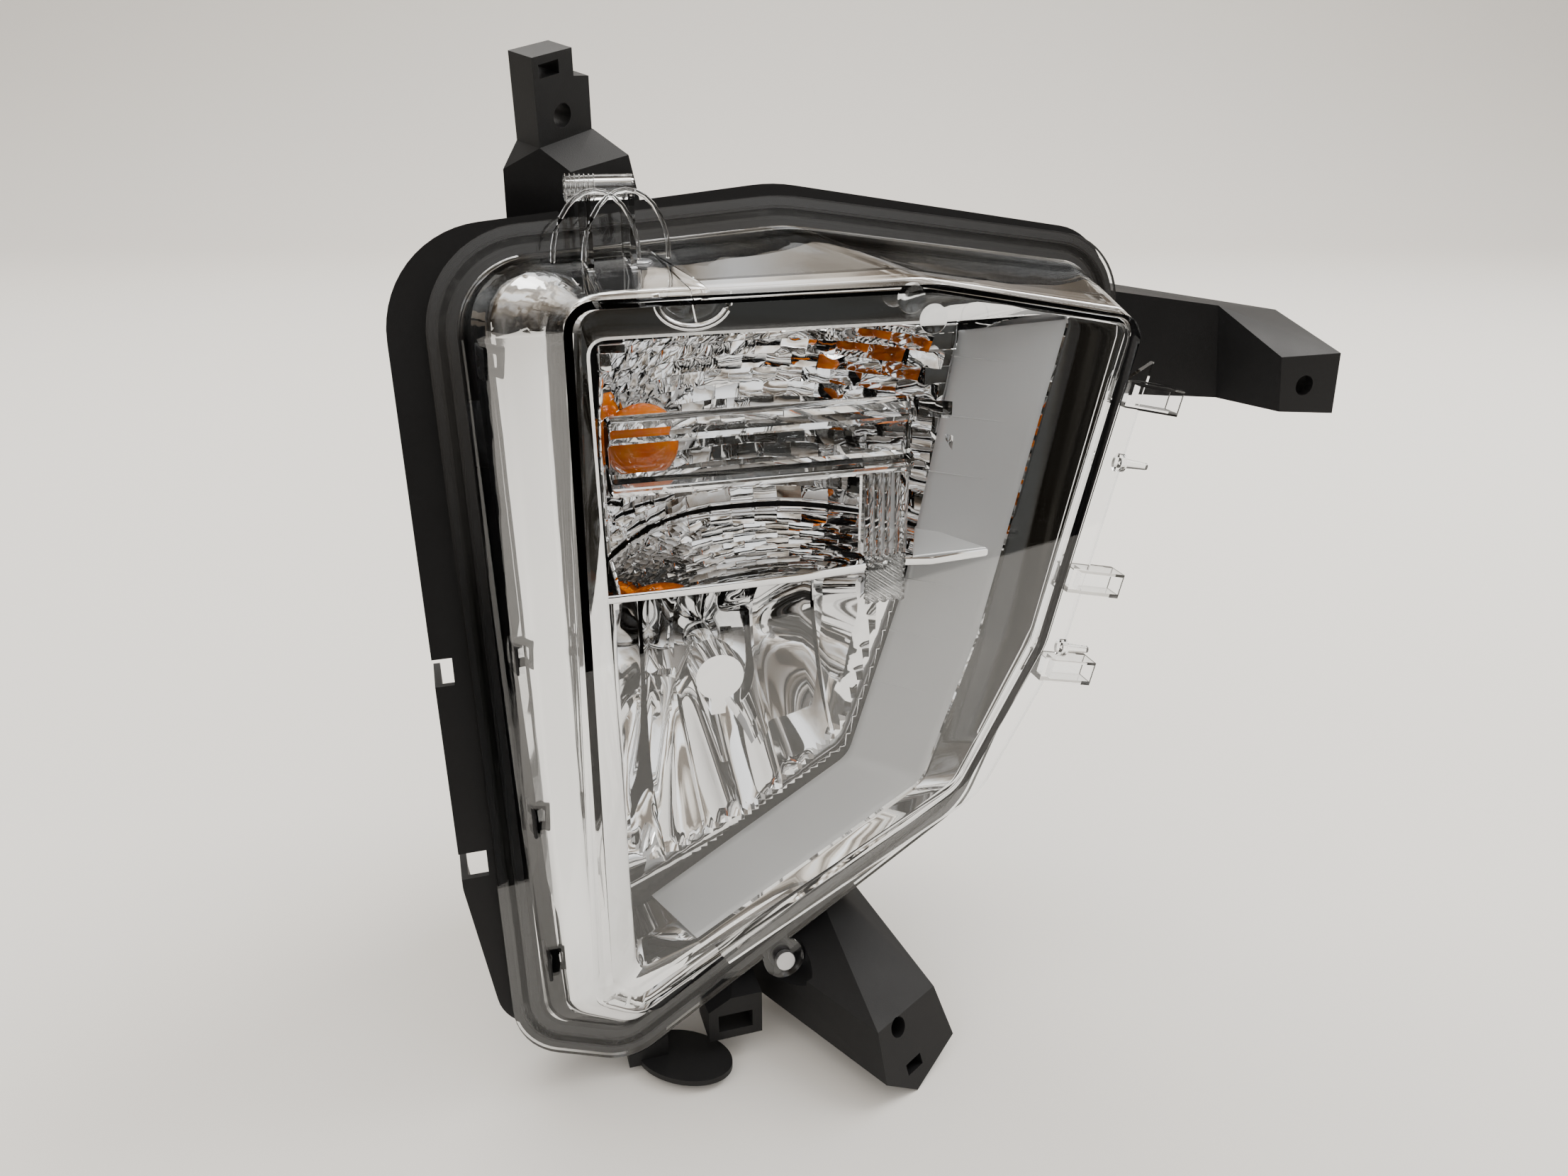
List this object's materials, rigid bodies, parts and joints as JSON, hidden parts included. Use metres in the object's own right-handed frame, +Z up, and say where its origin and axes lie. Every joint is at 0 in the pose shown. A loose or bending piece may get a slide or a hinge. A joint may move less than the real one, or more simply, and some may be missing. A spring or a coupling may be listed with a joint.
{
  "type": "car headlight assembly",
  "caption": "Tapered car headlight unit: clear lens over a chrome bezel, amber turn lamp and main beam bowl, black rear housing with bolt arms.",
  "frame": {"origin": "centre of the bolt hole in the upper tab, at the tab's front face", "axes": "+X to the right as the lit face is seen, +Y to the rear of the car, +Z up along the lens face"},
  "size_m": [0.3616, 0.2164, 0.3784],
  "materials": {
    "housing_black": "fine moulded grain",
    "clear_polycarbonate": "clear, hard coated",
    "sealant": "butyl bead",
    "zinc_screw": "zinc plated",
    "mirror_metallised": "aluminised mirror on plastic",
    "satin_metallised": "satin silver on plastic",
    "amber_glass": "amber",
    "clear_glass": "clear",
    "nickel_brass": "nickel plated",
    "spring_steel": "bright wire",
    "nylon_white": "natural nylon",
    "socket_grey": "moulded",
    "rubber_black": "soft"
  },
  "bodies": {
    "housing": {"rear_housing": "housing_black", "lens_seal": "sealant", "outer_lens": "clear_polycarbonate", "lens_screw": "zinc_screw", "bezel": "mirror_metallised", "bezel_screws": "zinc_screw", "satin_trim": "satin_metallised", "divider_blade": "mirror_metallised", "light_guide": "clear_polycarbonate", "turn_reflector": "mirror_metallised", "pivot_studs": "nylon_white", "vent_caps": "rubber_black", "connector_header": "socket_grey", "connector_pins": "nickel_brass"},
    "main_lamp": {"main_reflector": "mirror_metallised", "bulb_shield": "mirror_metallised", "main_bulb_glass": "clear_glass", "main_bulb_base": "nickel_brass", "main_bulb_terminals": "nickel_brass", "spring_hinge": "socket_grey", "pivot_sockets": "nylon_white", "aim_socket": "nylon_white"},
    "turn_holder": {"turn_socket": "socket_grey", "turn_socket_gasket": "rubber_black", "turn_bulb_glass": "amber_glass", "turn_bulb_base": "nickel_brass"},
    "position_holder": {"position_socket": "socket_grey", "position_bulb": "clear_glass"},
    "retaining_spring": {"bulb_spring": "spring_steel"},
    "rear_cap": {"dust_cap": "housing_black", "dust_cap_seal": "rubber_black"},
    "adjuster_screw": {"aim_screw": "zinc_screw"},
    "adjuster_nut": {"aim_nut": "nylon_white"}
  },
  "joints": [
    {"name": "aim_screw_turn", "type": "hinge", "parent": "housing", "child": "adjuster_screw", "pos_m": [0.014, 0.07, -0.274], "axis": [0, 1, 0], "range_deg": [-960, 960]},
    {"name": "aim_nut_slide", "type": "slide", "parent": "housing", "child": "adjuster_nut", "axis": [0, 1, 0], "range_m": [-0.00402, 0.00402]},
    {"name": "main_lamp_tilt", "type": "hinge", "parent": "housing", "child": "main_lamp", "pos_m": [0.046, 0.015, -0.158], "axis": [1, 0, 0], "range_deg": [-2, 2]},
    {"name": "turn_holder_twist", "type": "hinge", "parent": "housing", "child": "turn_holder", "pos_m": [0.018, -0.024, -0.108], "axis": [-0.9063, 0.4226, 0], "range_deg": [-45, 0]},
    {"name": "position_holder_twist", "type": "hinge", "parent": "main_lamp", "child": "position_holder", "pos_m": [0.083, 0.032, -0.185], "axis": [0, 1, 0], "range_deg": [0, 45]},
    {"name": "spring_swing", "type": "hinge", "parent": "main_lamp", "child": "retaining_spring", "pos_m": [0.046, 0.04, -0.188], "axis": [1, 0, 0], "range_deg": [0, 25]},
    {"name": "dust_cap_twist", "type": "hinge", "parent": "housing", "child": "rear_cap", "pos_m": [0.046, 0.07, -0.212], "axis": [0, 1, 0], "range_deg": [0, 40]}
  ],
  "couplings": [
    {"joint": "aim_nut_slide", "follows": "aim_screw_turn", "m_per_rad": -0.00023873},
    {"joint": "main_lamp_tilt", "follows": "aim_screw_turn", "ratio": -0.002058}
  ]
}
